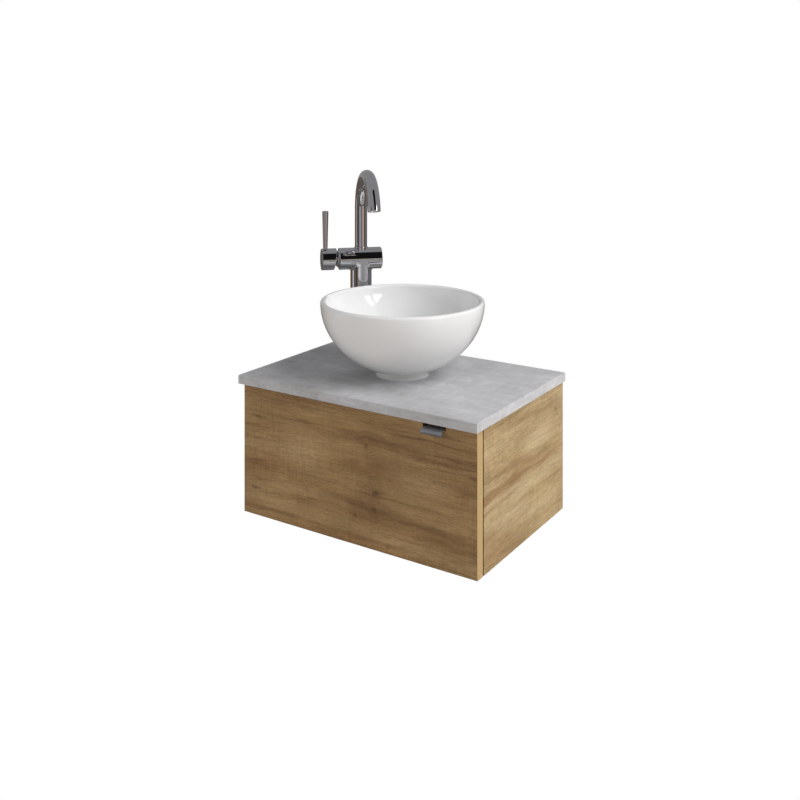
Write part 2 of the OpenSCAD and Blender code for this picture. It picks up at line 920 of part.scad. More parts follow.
module lever_knob() {
    color("lightgray") at_mixer() difference() {
        rotate_extrude() polygon([
            [0, 40], [mixer_r - 0.2, 40], [mixer_r - 0.2, knob_end - 1], [mixer_r - 1.2, knob_end], [0, knob_end]
        ]);
        // The inner end is cut on a slant, which leaves room below when the lever tilts
        rotate([90, 0, 0]) linear_extrude(100, center = true) polygon([
            [mixer_r, knob_top], [-mixer_r, knob_low], [-60, knob_low + 5], [-60, 0], [60, 0], [60, knob_top - 5]
        ]);
        translate([0, 0, pivot]) sphere(r = dome_r + 0.7);
        block([-4 - play, -4 - play, 50], [4 + play, 4 + play, 72.5]);
        translate([5, 0, lever_at]) rotate([0, 90, 0]) cylinder(r = 3 + play, h = 30);
        translate([-4, 0, 65]) rotate([0, -90, 0]) cylinder(r = 2.5 + play, h = 30);
    }
}

module lever_rod() {
    color("lightgray") at_mixer() translate([0, 0, lever_at]) rotate([0, 90, 0]) {
        translate([0, 0, 7]) cylinder(r = 3, h = mixer_r - 7);
        rotate_extrude() polygon([
            [0, mixer_r - 0.1], [4.65, mixer_r - 0.1], [6.35, lever_top - 0.6], [5.8, lever_top],
            [0, lever_top]
        ]);
    }
}

module lever_screw() {
    color("dimgray") at_mixer() translate([-4.2, 0, 65]) rotate([0, -90, 0]) cylinder(r = 2.5, h = 12);
}

// Upright tube, bend and outlet sleeve in one, for a given radius; the sleeve is a touch wider
module spout_path(r, over = 0) {
    at_tap() translate([0, 0, boss_z + 0.3 - over]) cylinder(r = r, h = bend_z - boss_z - 0.3 + over);
    at_tap() translate([0, -bend_r, bend_z]) rotate([90, 0, 90]) rotate_extrude(angle = bend_angle)
        translate([bend_r, 0]) circle(r = r);
    at_outlet_end() translate([0, 0, -0.5]) cylinder(r = r + sleeve_step, h = spout_end_l + 0.5 + over);
}

module spout_tube() {
    color("lightgray") difference() {
        union() {
            spout_path(spout_r);
            at_tap() translate([0, 0, mixer_z + 5.8]) cylinder(r = insert_r, h = 20);
        }
        difference() {
            spout_path(spout_bore, 1);
            at_tap() translate([0, 0, mixer_z]) cylinder(r = spout_r, h = 37);
        }
        at_tap() {
            translate([0, 0, mixer_z]) cylinder(r = 6.5, h = 50);
            for (z = [15.4, 20]) translate([0, 0, mixer_z + z]) tube(insert_r + 1, 7.2, 2.2);
            translate([0, 0, mixer_z + 8.6]) tube(insert_r + 1, 7.3, 3.2);
        }
    }
}

module spout_o_rings() {
    color("dimgray") at_tap() for (z = [16.5, 21.1]) translate([0, 0, mixer_z + z]) rotate_extrude()
        translate([8.12, 0]) circle(r = 0.88);
}

module spout_lock_screw() {
    color("gray") at_tap() translate([0, 0, mixer_z + 10.2]) rotate([-90, 0, 0]) {
        translate([0, 0, 7.8]) cylinder(r = 1.4, h = 2);
        translate([0, 0, 9.7]) cylinder(r = 2, h = 7.8);
    }
}

// Ring with a honeycomb of flow holes, set just inside the outlet
module aerator() {
    pitch = 4;
    color("gainsboro") at_outlet_end() translate([0, 0, 1]) difference() {
        cylinder(r = spout_bore + sleeve_step - 0.05, h = spout_end_l - 1.8);
        for (ring = [1:2]) for (k = [0:6 * ring - 1]) rotate([0, 0, k * 60 / ring])
            translate([pitch * ring, 0, -1]) cylinder(r = 1.2, h = 20);
        translate([0, 0, -1]) cylinder(r = 1.2, h = 20);
    }
}

side_left();
side_right();
bottom_panel();
front_rail();
back_rail_top();
back_rail_bottom();
countertop();
cam_locks();
dowels();
top_brackets();
cabinet_screws();
cabinet_hangers();
wall_plates();
bumpers();
runner_fixed_rails();
runner_middle_rails();
runner_drawer_rails();
outer_ball_cages();
inner_ball_cages();
drawer_front();
handle();
drawer_side_left();
drawer_side_right();
drawer_box_front();
drawer_backs();
cutout_walls();
drawer_bottom();
short_screws();
long_screws();
basin();
basin_seal();
waste_body();
waste_gaskets();
waste_nut();
plug();
plug_guide();
trap_nuts();
trap_inlet_tube();
trap_body();
trap_cup();
trap_outlet_pipe();
trap_seals();
tap_body();
tap_gasket();
tap_stud();
tap_clamp_plate();
tap_nut();
cartridge_housing();
cartridge_rotor();
ceramic_disc();
cartridge_nut();
cartridge_cover();
lever_stem();
lever_knob();
lever_rod();
lever_screw();
spout_tube();
spout_o_rings();
spout_lock_screw();
aerator();
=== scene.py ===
import json
import math

import bpy
from mathutils import Matrix, Vector


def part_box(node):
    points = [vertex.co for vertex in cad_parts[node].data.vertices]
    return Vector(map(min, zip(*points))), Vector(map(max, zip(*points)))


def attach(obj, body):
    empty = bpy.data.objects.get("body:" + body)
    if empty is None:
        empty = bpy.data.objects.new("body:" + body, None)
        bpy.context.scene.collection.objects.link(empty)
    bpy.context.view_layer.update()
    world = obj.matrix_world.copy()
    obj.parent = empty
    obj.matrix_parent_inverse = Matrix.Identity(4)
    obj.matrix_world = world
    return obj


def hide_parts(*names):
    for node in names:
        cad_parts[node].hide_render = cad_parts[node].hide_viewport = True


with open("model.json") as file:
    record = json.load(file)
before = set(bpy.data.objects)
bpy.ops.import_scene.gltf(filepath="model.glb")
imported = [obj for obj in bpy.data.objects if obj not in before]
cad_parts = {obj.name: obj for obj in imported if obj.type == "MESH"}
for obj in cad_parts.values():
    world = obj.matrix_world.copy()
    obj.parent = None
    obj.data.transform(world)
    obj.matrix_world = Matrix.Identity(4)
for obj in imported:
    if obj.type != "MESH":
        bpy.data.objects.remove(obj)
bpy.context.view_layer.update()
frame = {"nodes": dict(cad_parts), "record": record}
nodes = frame["nodes"]
scene = bpy.context.scene
scene.view_settings.view_transform = "Standard"

MM = 0.001
rad = math.radians

# ---------- places, all from the CAD frame, in millimetres ----------


def span(node):
    """Lowest and highest corner of a CAD node, in millimetres."""
    low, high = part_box(node)
    return low / MM, high / MM


slab_low, slab_high = span("countertop")
slab_top = slab_high.z
basin_low, basin_high = span("basin")
basin_at = (basin_low + basin_high) / 2
gasket_low, gasket_high = span("tap_gasket")
tap_at = (gasket_low + gasket_high) / 2
front_low, front_high = span("drawer_front")
pull_low, pull_high = span("handle")

TAP_TURN = 45
MIXER_Z = 185
LEVER_OUT = 72.8
AT_BASIN = Matrix.Translation((basin_at.x, basin_at.y, slab_top))
AT_TAP = Matrix.Translation((tap_at.x, tap_at.y, slab_top)) @ Matrix.Rotation(rad(TAP_TURN), 4, "Z")
AT_MIXER = AT_TAP @ Matrix.Translation((0, 0, MIXER_Z)) @ Matrix.Rotation(rad(-90), 4, "Y")
AT_LEVER = AT_MIXER @ Matrix.Translation((0, 0, LEVER_OUT)) @ Matrix.Rotation(rad(90), 4, "Y")

# ---------- camera ----------

cam_data = bpy.data.cameras.new("camera")
cam_data.sensor_width = 36
cam_data.lens = 44.95
cam_data.shift_y = -0.386  # a level camera above the object, so that upright edges stay parallel
camera = bpy.data.objects.new("camera", cam_data)
camera.location = (1.0036, -1.7278, 0.5875)
camera.rotation_euler = (rad(90), 0, rad(32.96))
scene.collection.objects.link(camera)
scene.camera = camera


# ---------- node helpers ----------


def linear(r, g, b):
    """Linear colour of an sRGB colour given in 0-255."""
    def one(c):
        c = c / 255
        return c / 12.92 if c <= 0.04045 else ((c + 0.055) / 1.055) ** 2.4
    return (one(r), one(g), one(b), 1)


class Mat:
    """A material with one Principled shader, and short calls for the nodes that feed it."""

    def __init__(self, name, **values):
        self.mat = bpy.data.materials.new(name)
        self.mat.use_nodes = True
        self.tree = self.mat.node_tree
        self.tree.nodes.clear()
        self.shader = self.tree.nodes.new("ShaderNodeBsdfPrincipled")
        out = self.tree.nodes.new("ShaderNodeOutputMaterial")
        self.tree.links.new(self.shader.outputs[0], out.inputs[0])
        for key, value in values.items():
            self.shader.inputs[key.replace("_", " ")].default_value = value
        self.coords = self.tree.nodes.new("ShaderNodeTexCoord").outputs["Object"]

    def put(self, socket, value):
        if isinstance(value, bpy.types.NodeSocket):
            self.tree.links.new(value, socket)
        else:
            socket.default_value = value

    def feed(self, name, value):
        self.put(self.shader.inputs[name], value)

    def math(self, op, a, b=0.0, c=0.0, clamp=False):
        n = self.tree.nodes.new("ShaderNodeMath")
        n.operation = op
        n.use_clamp = clamp
        for socket, value in zip(n.inputs, (a, b, c)):
            self.put(socket, value)
        return n.outputs[0]

    def scaled(self, vector, scale, shift=(0, 0, 0)):
        n = self.tree.nodes.new("ShaderNodeMapping")
        self.put(n.inputs["Vector"], vector)
        n.inputs["Scale"].default_value = scale
        n.inputs["Location"].default_value = shift
        return n.outputs[0]

    def noise(self, vector, scale=1.0, detail=2.0, rough=0.5, distort=0.0):
        n = self.tree.nodes.new("ShaderNodeTexNoise")
        self.put(n.inputs["Vector"], vector)
        n.inputs["Scale"].default_value = scale
        n.inputs["Detail"].default_value = detail
        n.inputs["Roughness"].default_value = rough
        n.inputs["Distortion"].default_value = distort
        return n.outputs["Fac"]

    def cells(self, vector, scale, feature="F1"):
        n = self.tree.nodes.new("ShaderNodeTexVoronoi")
        n.feature = feature
        self.put(n.inputs["Vector"], vector)
        n.inputs["Scale"].default_value = scale
        return n.outputs["Distance"]

    def span(self, value, low, high, to_low=0.0, to_high=1.0, smooth=False):
        n = self.tree.nodes.new("ShaderNodeMapRange")
        n.interpolation_type = "SMOOTHSTEP" if smooth else "LINEAR"
        for socket, v in zip(n.inputs, (value, low, high, to_low, to_high)):
            self.put(socket, v)
        return n.outputs[0]

    def ramp(self, fac, stops):
        n = self.tree.nodes.new("ShaderNodeValToRGB")
        self.put(n.inputs[0], fac)
        ends = n.color_ramp.elements
        while len(ends) < len(stops):
            ends.new(0.5)
        for end, (at, colour) in zip(ends, stops):
            end.position = at
            end.color = colour
        return n.outputs[0]

    def mix(self, fac, a, b, how="MIX"):
        n = self.tree.nodes.new("ShaderNodeMix")
        n.data_type = "RGBA"
        n.blend_type = how
        self.put(n.inputs[0], fac)
        self.put(n.inputs[6], a)
        self.put(n.inputs[7], b)
        return n.outputs[2]

    def parts(self, vector):
        n = self.tree.nodes.new("ShaderNodeSeparateXYZ")
        self.put(n.inputs[0], vector)
        return n.outputs[0], n.outputs[1], n.outputs[2]

    def joined(self, x, y, z):
        n = self.tree.nodes.new("ShaderNodeCombineXYZ")
        for socket, v in zip(n.inputs, (x, y, z)):
            self.put(socket, v)
        return n.outputs[0]

    def bump(self, height, distance, strength=1.0):
        n = self.tree.nodes.new("ShaderNodeBump")
        n.inputs["Strength"].default_value = strength
        n.inputs["Distance"].default_value = distance
        self.put(n.inputs["Height"], height)
        self.feed("Normal", n.outputs[0])


def oak(name, along, seed, streaks=(), knots=(), patches=(), tone=(1, 1, 1), dark=(102, 66, 35), sheen_end_from=None):
    """Oak decor. along is the grain's axis, and seed moves the noises. Lengths are in metres:
    streaks: (height, half width, strength, slope, centre, reach) of darker bands along the grain
    knots: (along, height, half length, half height, strength)
    patches: (along, height, half length, half height, strength), paler wood, or darker where strength is negative
    tone multiplies the colours, dark is the streaks' colour, and past the given x the end face gets a paler colour, a
    painted sheen of the key light on that end."""
    m = Mat(name)

    def shade(r, g, b):
        return linear(r * tone[0], g * tone[1], b * tone[2])

    def times(fac, colour, source, stops):
        """The colour multiplied by a ramp of the source; a stop is (place, value) or (place, (r, g, b))."""
        stops = [(at, tuple(c) + (1,) if isinstance(c, tuple) else (c, c, c, 1)) for at, c in stops]
        return m.mix(fac, colour, m.ramp(source, stops), "MULTIPLY")

    x, y, z = m.parts(m.coords)
    u, w = (x, y) if along == "X" else (y, x)
    base = m.joined(u, z, w)
    wave = m.noise(m.scaled(base, (3.0, 11, 11), (seed, 0, 0)), detail=2)
    ripple = m.noise(m.scaled(base, (13, 46, 46), (0, seed, 0)), detail=2)
    v = m.math("MULTIPLY_ADD", m.math("SUBTRACT", wave, 0.5), 0.022, z)
    v = m.math("MULTIPLY_ADD", m.math("SUBTRACT", ripple, 0.5), 0.006, v)
    def spot(across, at_u, at_v, half_u, half_v):
        """Squared distance from a spot, in units of its half sizes, and its part across the grain."""
        du = m.math("MULTIPLY", m.math("SUBTRACT", u, at_u), 1 / half_u)
        dv = m.math("MULTIPLY", m.math("SUBTRACT", across, at_v), 1 / half_v)
        return m.math("ADD", m.math("MULTIPLY", du, du), m.math("MULTIPLY", dv, dv)), dv

    # The grain bends round the knots
    for ku, kv, ru, rv, strength in knots:
        near, dv = spot(z, ku, kv, ru, rv)
        push = m.math("DIVIDE", m.math("MULTIPLY", dv, rv * 0.7), m.math("ADD", near, 1.0))
        v = m.math("SUBTRACT", v, push)
    grain = m.joined(u, v, w)
    broad = m.noise(m.scaled(grain, (2.6, 21, 21), (seed, seed, 0)), detail=4, rough=0.6)
    layers = m.noise(m.scaled(grain, (4.5, 95, 95), (seed, 0, seed)), detail=3, rough=0.65)
    fibre = m.noise(m.scaled(grain, (22, 420, 420), (0, 0, seed)), detail=4, rough=0.7)
    dashes = m.noise(m.scaled(grain, (75, 560, 560), (0, seed, seed)), detail=3, rough=0.65)
    fine = m.noise(m.scaled(grain, (60, 1700, 1700)), detail=2, rough=0.7)
    # Rays and saw marks that cross the grain
    flecks = m.noise(m.scaled(base, (210, 22, 22), (seed, 0, seed)), detail=3, rough=0.65)
    speckle = m.noise(m.scaled(base, (330, 300, 300), (seed, seed, 0)), detail=2, rough=0.6)
    cloud = m.noise(m.scaled(base, (8, 15, 15), (0, seed, seed)), detail=4, rough=0.6)

    colour = m.ramp(m.span(broad, 0.28, 0.72), [
        (0.0, shade(146, 110, 70)), (0.45, shade(166, 134, 90)), (1.0, shade(184, 155, 112))])
    for pu, pv, ru, rv, strength in patches:
        near = m.math("SQRT", spot(v, pu, pv, ru, rv)[0])
        near = m.math("MULTIPLY_ADD", m.math("SUBTRACT", cloud, 0.5), 1.6, near)
        near = m.span(near, 0.25, 1.25, abs(strength), 0.0, True)
        colour = m.mix(near, colour, shade(196, 168, 126) if strength > 0 else shade(122, 86, 52))
    colour = times(0.8, colour, layers, [
        (0.30, (0.72, 0.67, 0.60)), (0.46, (0.97, 0.96, 0.95)), (0.75, (1.07, 1.07, 1.06))])
    colour = times(0.9, colour, fibre, [
        (0.30, (0.74, 0.70, 0.65)), (0.50, (0.98, 0.98, 0.97)), (0.75, (1.13, 1.12, 1.11))])
    colour = times(0.8, colour, dashes, [(0.30, (0.76, 0.72, 0.67)), (0.46, 1), (0.75, 1.10)])
    rays = m.noise(m.scaled(base, (12, 9, 9), (seed, seed, seed)), detail=2)
    colour = times(m.span(rays, 0.42, 0.62, 0.15, 0.85), colour, flecks, [(0.3, (0.86, 0.85, 0.84)), (0.7, 1.12)])
    colour = times(0.6, colour, speckle, [(0.3, (0.84, 0.83, 0.82)), (0.7, 1.12)])
    colour = times(0.7, colour, cloud, [(0.3, (0.82, 0.80, 0.77)), (0.7, (1.12, 1.11, 1.1))])
    ragged = m.noise(m.scaled(grain, (11, 170, 170), (seed, 0, 0)), detail=4, rough=0.65)
    for height, half, strength, slope, centre, reach in streaks:
        off = m.math("SUBTRACT", m.math("MULTIPLY_ADD", u, -slope, v), height)
        off = m.math("ABSOLUTE", m.math("MULTIPLY_ADD", m.math("SUBTRACT", ragged, 0.5), half * 1.5, off))
        along_it = m.span(off, 0.0, half, 1.0, 0.0, True)
        side = m.span(m.math("ABSOLUTE", m.math("SUBTRACT", u, centre)), reach * 0.45, reach, 1.0, 0.0, True)
        along_it = m.math("MULTIPLY", m.math("MULTIPLY", along_it, side), m.span(ragged, 0.34, 0.58, 0.15, 1.0))
        colour = m.mix(m.math("MULTIPLY", along_it, strength), colour, linear(*dark))
    for ku, kv, ru, rv, strength in knots:
        near = m.math("SQRT", spot(z, ku, kv, ru, rv)[0])
        near = m.math("MULTIPLY_ADD", m.math("SUBTRACT", ragged, 0.5), 2.0, near)
        near = m.math("MULTIPLY_ADD", m.math("SUBTRACT", flecks, 0.5), 1.2, near)
        halo = m.span(near, 0.4, 2.8, 0.40, 0.0, True)
        core = m.span(near, 0.1, 0.95, 0.9, 0.0, True)
        colour = m.mix(m.math("MULTIPLY", halo, strength), colour, shade(116, 82, 50))
        colour = m.mix(m.math("MULTIPLY", core, strength), colour, shade(82, 54, 32))
    pores = m.span(fine, 0.30, 0.42, 0.45, 0.0)
    colour = m.mix(pores, colour, linear(104, 76, 48), "MULTIPLY")
    # Painted sheen: past the given x the end face is paler, where the key light falls on that end
    if sheen_end_from:
        edge = times(0.75, shade(196, 168, 124), fibre, [(0.3, (0.86, 0.84, 0.80)), (0.7, (1.06, 1.06, 1.05))])
        colour = m.mix(m.math("GREATER_THAN", u, sheen_end_from), colour, edge)
    m.feed("Base Color", colour)
    m.feed("Roughness", m.span(fibre, 0.3, 0.7, 0.56, 0.44))
    m.bump(m.math("ADD", m.math("MULTIPLY", fibre, 0.7), m.math("MULTIPLY", fine, 0.5)), 0.00016, 0.6)
    return m.mat


def concrete():
    """Grey laminate with clouds, trowel marks and dark specks."""
    m = Mat("concrete_laminate")
    big = m.noise(m.coords, 5.5, 5, 0.62, 0.6)
    mid = m.noise(m.scaled(m.coords, (1, 1, 1), (3, 1, 2)), 21, 5, 0.68, 0.4)
    trowel = m.noise(m.scaled(m.coords, (9, 62, 62), (0, 2, 0)), detail=4, rough=0.6, distort=0.8)
    cross = m.noise(m.scaled(m.coords, (120, 26, 160), (2, 0, 5)), detail=3, rough=0.6, distort=0.3)
    grit = m.noise(m.coords, 900, 3, 0.7)
    tone = m.math("ADD", m.math("MULTIPLY", big, 0.45), m.math("MULTIPLY", mid, 0.30))
    tone = m.math("MULTIPLY_ADD", trowel, 0.24, tone)
    tone = m.math("MULTIPLY_ADD", cross, 0.20, tone)
    colour = m.ramp(m.span(tone, 0.46, 0.74), [
        (0.0, linear(166, 165, 166)), (0.35, linear(183, 183, 184)),
        (0.65, linear(192, 192, 194)), (1.0, linear(207, 207, 209))])
    specks = m.span(m.cells(m.coords, 260), 0.0, 0.16, 0.35, 0.0)
    colour = m.mix(specks, colour, linear(150, 149, 150), "MULTIPLY")
    colour = m.mix(0.5, colour, m.ramp(grit, [(0.3, (0.90, 0.90, 0.90, 1)), (0.7, (1.06, 1.06, 1.06, 1))]), "MULTIPLY")
    m.feed("Base Color", colour)
    m.feed("Roughness", m.span(mid, 0.3, 0.7, 0.62, 0.5))
    m.bump(m.math("ADD", m.math("MULTIPLY", grit, 0.5), mid), 0.00012, 0.5)
    return m.mat


def ceramic(name, colour):
    """Glaze: near white under a clear coat, with a faint orange peel."""
    m = Mat(name, Coat_Weight=0.5, Coat_Roughness=0.02)
    cloud = m.noise(m.coords, 14, 3, 0.5)
    peel = m.noise(m.coords, 160, 2, 0.5)
    m.feed("Base Color", m.mix(m.span(cloud, 0.35, 0.65), colour, tuple(c * 0.975 for c in colour[:3]) + (1,)))
    m.feed("Roughness", m.span(cloud, 0.3, 0.7, 0.03, 0.055))
    m.bump(peel, 0.00003, 0.25)
    return m.mat


def metal(name, colour, rough, fine_scale=(1, 1, 1), spread=0.03, relief=0.0, shade=0.06):
    """Bare or plated metal: polishing haze in the roughness, and a faint tone change."""
    m = Mat(name, Metallic=1.0)
    haze = m.noise(m.scaled(m.coords, fine_scale), 38, 4, 0.6)
    fine = m.noise(m.scaled(m.coords, fine_scale), 900, 3, 0.6)
    dim = tuple(c * (1 - shade) for c in colour[:3]) + (1,)
    m.feed("Base Color", m.mix(m.span(haze, 0.35, 0.65), colour, dim))
    both = m.math("ADD", m.math("MULTIPLY", haze, 0.5), m.math("MULTIPLY", fine, 0.5))
    m.feed("Roughness", m.span(both, 0.3, 0.7, rough, rough + spread))
    if relief:
        m.bump(fine, relief, 0.5)
    return m.mat


def zinc():
    """Zinc plate with faint flakes."""
    m = Mat("zinc_plate", Metallic=1.0)
    flakes = m.cells(m.coords, 420)
    haze = m.noise(m.coords, 60, 3, 0.6)
    m.feed("Base Color", m.ramp(flakes, [
        (0.0, (0.50, 0.51, 0.53, 1)), (0.6, (0.66, 0.67, 0.69, 1)), (1.0, (0.72, 0.73, 0.74, 1))]))
    m.feed("Roughness", m.span(haze, 0.3, 0.7, 0.28, 0.42))
    m.bump(flakes, 0.00004, 0.3)
    return m.mat


def plastic(name, colour, rough, texture=0.00005):
    """Moulded plastic or rubber with a fine surface texture."""
    m = Mat(name)
    cloud = m.noise(m.coords, 30, 3, 0.5)
    grain = m.noise(m.coords, 1800, 2, 0.6)
    m.feed("Base Color", m.mix(m.span(cloud, 0.35, 0.65), colour, tuple(c * 0.94 for c in colour[:3]) + (1,)))
    m.feed("Roughness", m.span(grain, 0.3, 0.7, rough, rough + 0.12))
    m.bump(grain, texture, 0.5)
    return m.mat


def melamine():
    """White melamine with a pearl texture."""
    m = Mat("white_melamine")
    cloud = m.noise(m.coords, 18, 3, 0.5)
    pearl = m.noise(m.coords, 700, 3, 0.6)
    m.feed("Base Color", m.mix(m.span(cloud, 0.35, 0.65), linear(232, 231, 228), linear(226, 225, 221)))
    m.feed("Roughness", m.span(pearl, 0.3, 0.7, 0.34, 0.46))
    m.bump(pearl, 0.00006, 0.5)
    return m.mat


# ---------- materials ----------

FRONT_STREAKS = [
    (-0.004, 0.012, 0.55, -0.030, 0.120, 0.200),
    (0.004, 0.006, 0.50, 0.010, -0.160, 0.110),
    (0.012, 0.004, 0.60, -0.015, 0.160, 0.100),
    (-0.018, 0.005, 0.62, -0.010, 0.190, 0.080),
    (0.028, 0.005, 0.45, -0.010, -0.160, 0.100),
    (0.020, 0.004, 0.35, -0.010, 0.030, 0.110),
    (-0.122, 0.010, 0.40, -0.020, 0.020, 0.110),
    (-0.098, 0.006, 0.30, -0.020, -0.110, 0.120),
    (-0.128, 0.008, 0.40, -0.010, 0.160, 0.120),
    (-0.156, 0.004, 0.30, 0.000, 0.120, 0.060),
    (-0.170, 0.005, 0.28, 0.000, -0.060, 0.200),
]
FRONT_KNOTS = [
    (0.030, -0.016, 0.006, 0.010, 0.55),
    (0.050, -0.092, 0.012, 0.009, 0.75),
    (0.046, -0.122, 0.009, 0.008, 0.50),
    (0.008, -0.140, 0.006, 0.004, 0.60),
    (-0.216, -0.140, 0.014, 0.003, 0.60),
    (-0.212, -0.122, 0.008, 0.004, 0.45),
    (-0.212, -0.008, 0.018, 0.003, 0.50),
    (0.238, -0.030, 0.008, 0.005, 0.55),
]
FRONT_PATCHES = [
    (-0.105, -0.055, 0.070, 0.045, 0.50),
    (0.150, -0.062, 0.070, 0.026, 0.45),
    (-0.180, -0.150, 0.060, 0.028, 0.30),
    (0.090, -0.165, 0.080, 0.020, 0.22),
    (0.045, -0.045, 0.020, 0.060, -0.22),
    (0.030, -0.120, 0.050, 0.026, -0.28),
    (0.190, -0.140, 0.080, 0.022, -0.22),
]
SIDE_STREAKS = [
    (-0.070, 0.014, 0.72, 0.020, -0.200, 0.260),
    (-0.058, 0.005, 0.60, 0.020, -0.100, 0.120),
    (-0.088, 0.004, 0.50, 0.030, -0.270, 0.090),
    (0.004, 0.004, 0.30, 0.030, -0.240, 0.110),
    (-0.002, 0.003, 0.26, 0.030, -0.260, 0.080),
    (-0.132, 0.003, 0.22, 0.030, -0.240, 0.080),
    (0.014, 0.010, 0.26, 0.100, -0.040, 0.060),
]
SIDE_KNOTS = [(-0.034, 0.004, 0.010, 0.006, 0.35), (-0.028, -0.040, 0.006, 0.003, 0.30)]
SIDE_PATCHES = [
    (-0.110, -0.030, 0.060, 0.026, 0.40),
    (-0.210, -0.130, 0.080, 0.022, 0.30),
    (-0.040, 0.014, 0.050, 0.018, -0.25),
    (-0.300, -0.070, 0.040, 0.020, -0.20),
]

CHROME = (0.70, 0.70, 0.72, 1)
mats = {
    # The front's right end face, from 0.6 mm inside its edge, is painted paler: painted sheen of the key light
    "oak_front": oak("oak_front", "X", 3.7, FRONT_STREAKS, FRONT_KNOTS, FRONT_PATCHES, (0.97, 0.96, 0.93),
                     dark=(92, 58, 30), sheen_end_from=(front_high.x - 0.6) * MM),
    # The side's oak is paler and bluer than the front's, with paler streaks: a painted sheen of the key light on the
    # side
    "oak_side": oak("oak_side", "Y", 8.3, SIDE_STREAKS, SIDE_KNOTS, SIDE_PATCHES, (1.08, 1.16, 1.28),
                    dark=(138, 98, 56)),
    "carcass_board": oak("oak_carcass", "X", 5.1, [(0.04, 0.01, 0.3, 0.0, 0.0, 0.2)]),
    "concrete_decor": concrete(),
    "zinc_steel": zinc(),
    "beech": oak("beech", "X", 11.0, tone=(1.12, 1.12, 1.12)),
    "white_plastic": plastic("white_plastic", linear(228, 227, 222), 0.38),
    "clear_bumper": plastic("bumper_gel", linear(214, 217, 218), 0.18, 0.00002),
    "ball_cage_steel": metal("yellow_passivated", (0.62, 0.54, 0.34, 1), 0.30, spread=0.12, relief=0.00003, shade=0.25),
    "aluminium_satin": metal("satin_aluminium", (0.60, 0.63, 0.69, 1), 0.34, (1, 14, 14), 0.12, 0.00002, 0.12),
    "drawer_white": melamine(),
    "white_ceramic": ceramic("glazed_ceramic", (0.84, 0.84, 0.84, 1)),
    "seal_rubber": plastic("black_rubber", linear(34, 34, 35), 0.62, 0.00008),
    "seal_silicone": plastic("silicone", linear(222, 222, 222), 0.32, 0.00003),
    "chrome": metal("chrome", CHROME, 0.035, spread=0.02, shade=0.02),
    "brass": metal("brass", (0.64, 0.47, 0.22, 1), 0.24, spread=0.12, relief=0.00002, shade=0.15),
}
for part in frame["record"]["subparts"]:
    node = nodes[part["node"]]
    node.data.materials.clear()
    node.data.materials.append(mats[part["material_slot"]])


# ---------- mesh helpers, all in millimetres ----------


def piece(name, verts, faces, slot, body, *stands_for, place=Matrix(), sharp=34):
    """A mesh object at rest in the row frame, riding on a body."""
    mesh = bpy.data.meshes.new(name)
    mesh.from_pydata([(place @ Vector(v)) * MM for v in verts], [], faces)
    mesh.validate()
    mesh.update()
    mesh.shade_smooth()
    mesh.set_sharp_from_angle(angle=rad(sharp))
    obj = bpy.data.objects.new(name, mesh)
    scene.collection.objects.link(obj)
    mesh.materials.append(mats[slot])
    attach(obj, body)
    if stands_for:
        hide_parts(*stands_for)
    return obj


def rounded(points, steps=5):
    """Polyline with arcs at its corners. A point is (x, y) or (x, y, radius). Each arc gets a near neighbour on
    both sides, so that the straight runs are shaded straight."""
    out = []
    for i, point in enumerate(points):
        p = Vector(point[:2])
        if len(point) == 2 or i in (0, len(points) - 1):
            out.append(tuple(p))
            continue
        a = (Vector(points[i - 1][:2]) - p).normalized()
        b = (Vector(points[i + 1][:2]) - p).normalized()
        half = a.angle(b) / 2
        r = point[2]
        reach = r / math.tan(half)
        centre = p + (a + b).normalized() * (r / math.sin(half))
        start, end = p + a * reach, p + b * reach
        out.append(tuple(start + a * r * 0.35))
        s, e = start - centre, end - centre
        turn = s.angle(e)
        for k in range(steps + 1):
            t = k / steps
            out.append(tuple(centre + (s * math.sin((1 - t) * turn) + e * math.sin(t * turn)) / math.sin(turn)))
        out.append(tuple(end + b * r * 0.35))
    return out


def grid(rows, wrap=True):
    """Faces of rows of equal length, one row after the other."""
    n = len(rows[0])
    faces = []
    for i in range(len(rows) - 1):
        for k in range(n if wrap else n - 1):
            a, b = i * n + k, i * n + (k + 1) % n
            faces.append((a, b, b + n, a + n))
    return [v for row in rows for v in row], faces


def turned(profile, steps=96):
    """Lathe of (radius, z) points, run so that the outside is on the right when z goes up."""
    rows = []
    for r, z in profile:
        r = max(r, 0.01)
        rows.append([(r * math.cos(math.tau * k / steps), r * math.sin(math.tau * k / steps), z) for k in range(steps)])
    return grid(rows)


def joined(*meshes):
    """Several (verts, faces) pairs as one."""
    verts, faces = [], []
    for vs, fs in meshes:
        base = len(verts)
        verts += vs
        faces += [tuple(i + base for i in f) for f in fs]
    return verts, faces


def way_round(outline):
    """1 for an outline that runs anticlockwise, -1 for one that runs clockwise."""
    ahead = outline[1:] + outline[:1]
    return 1 if sum(p[0] * q[1] - q[0] * p[1] for p, q in zip(outline, ahead)) > 0 else -1


def extruded(outline, low, high, edge=0.3):
    """Prism along X of a closed outline of (y, z) points, with its two end edges eased."""
    n = len(outline)
    sign = way_round(outline)
    inward = []
    for i in range(n):
        d = (Vector(outline[(i + 1) % n]) - Vector(outline[i - 1])).normalized()
        inward.append(Vector((-d.y, d.x)) * sign)
    near_end = [(low, edge), (low + edge * 0.3, edge * 0.3), (low + edge, 0)]
    far_end = [(high - edge, 0), (high - edge * 0.3, edge * 0.3), (high, edge)]
    rows = []
    for x, inset in near_end + far_end:
        rows.append([(x, p[0] + s.x * inset, p[1] + s.y * inset) for p, s in zip(outline, inward)])
    verts, faces = grid(rows)
    faces.append(tuple(range(n)))
    faces.append(tuple(range(5 * n, 6 * n))[::-1])
    return verts, faces


# ---------- basin, waste and plug ----------

RIM_Z, RIM_R, BOWL_R, POWER = 133.0, 5.0, 152.0, 1.95


